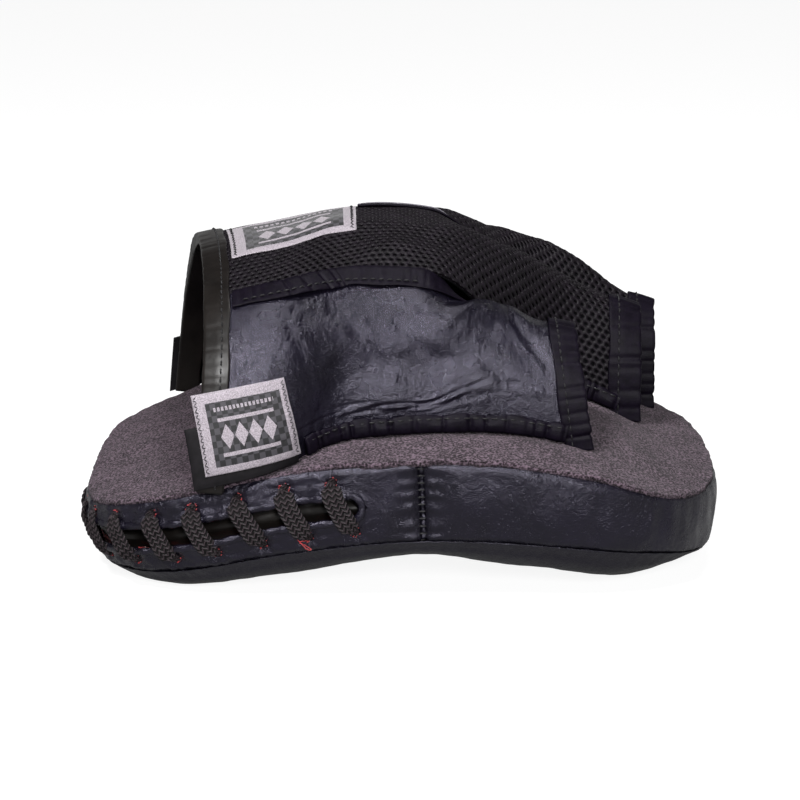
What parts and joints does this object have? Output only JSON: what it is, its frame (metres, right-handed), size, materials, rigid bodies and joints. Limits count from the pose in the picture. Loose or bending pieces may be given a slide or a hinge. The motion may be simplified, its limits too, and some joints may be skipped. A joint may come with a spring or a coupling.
{
  "type": "boxing focus mitt",
  "caption": "Curved boxing focus mitt: laced, foam-filled leather pad with a suede back and a hand cover with a leather thumb sleeve and mesh finger sleeves.",
  "frame": {"origin": "bottom centre of the bounding box, on the surface the mitt lies on, strike face down", "axes": "+X towards the fingertips, +Y away from the thumb side, +Z out of the hand side"},
  "size_m": [0.2493, 0.1952, 0.1317],
  "materials": {
    "leather": "satin smooth leather, near black with a blue cast",
    "suede": "matt suede, warm dark grey",
    "mesh": "black knitted spacer mesh",
    "binding": "woven nylon binding tape, purplish black",
    "wrist_vinyl": "glossy coated binding, brown black",
    "lace": "flat braided lace, black",
    "red_tape": "red woven tape",
    "tab": "black webbing",
    "label": "woven satin label, silver grey and black",
    "foam": "closed cell foam, dark grey"
  },
  "bodies": {
    "root": {"strike_face": "leather", "heel_gusset": "leather", "finger_gusset": "leather", "near_seam_welt": "leather", "far_seam_welt": "leather", "slot_piping": "leather", "lace_tongue": "leather", "upper_eyelet_tape": "red_tape", "lower_eyelet_tape": "red_tape", "lace": "lace", "impact_foam": "foam", "foam_core": "foam", "back_foam": "foam", "back_panel": "suede", "palm_grip_cover": "leather", "palm_grip_foam": "foam", "thumb_sleeve": "leather", "front_finger_sleeve": "mesh", "rear_finger_sleeve": "mesh", "thumb_top_binding": "binding", "finger_ridge_binding": "binding", "thumb_end_binding": "binding", "front_end_binding": "binding", "rear_end_binding": "binding", "thumb_base_binding": "binding", "front_base_binding": "binding", "rear_base_binding": "binding", "wrist_binding": "wrist_vinyl", "near_wrist_tab": "tab", "far_wrist_tab": "tab", "side_label": "label", "top_label": "label"}
  },
  "joints": []
}
